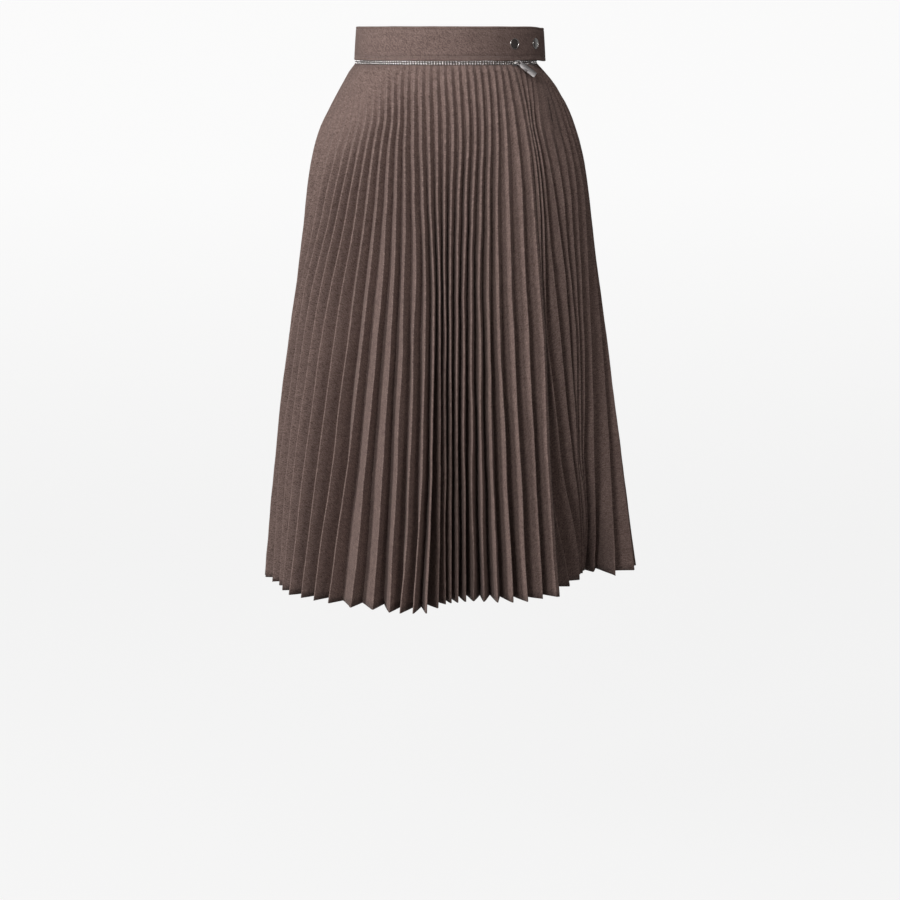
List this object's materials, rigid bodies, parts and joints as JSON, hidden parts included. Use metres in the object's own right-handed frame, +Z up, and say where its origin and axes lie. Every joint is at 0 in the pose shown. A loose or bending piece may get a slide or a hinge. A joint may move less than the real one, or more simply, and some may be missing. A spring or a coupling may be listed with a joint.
{
  "type": "pleated midi skirt",
  "caption": "Midi-length sunray-pleated wool skirt, worn and hollow, with a snap-closed waistband above a level metal zip that has a swinging pull.",
  "frame": {"origin": "centre of the waist opening at half the waistband's height", "axes": "+Z up, wearer faces -Y, wearer's left is +X"},
  "size_m": [0.5011, 0.3985, 0.7293],
  "materials": {
    "wool": "matte melange twill",
    "waistband_wool": "matte melange twill, topstitched",
    "zip_metal": "polished teeth",
    "polished_nickel": "polished",
    "satin_nickel": "satin"
  },
  "bodies": {
    "skirt": {"pleated_front_panel": "wool", "pleated_back_panel": "wool", "waistband": "waistband_wool", "zip_chain": "zip_metal", "zip_upper_row": "zip_metal", "zip_lower_row": "zip_metal", "zip_slider": "polished_nickel", "snap_cap_front": "polished_nickel", "snap_cap_side": "polished_nickel"},
    "pull": {"zip_pull": "satin_nickel"}
  },
  "joints": [
    {"name": "pull_swing", "type": "hinge", "parent": "skirt", "child": "pull", "pos_m": [0.08646, -0.07062, -0.02365], "axis": [0.2361, -0.3113, -0.9205], "range_deg": [0, 150]}
  ]
}
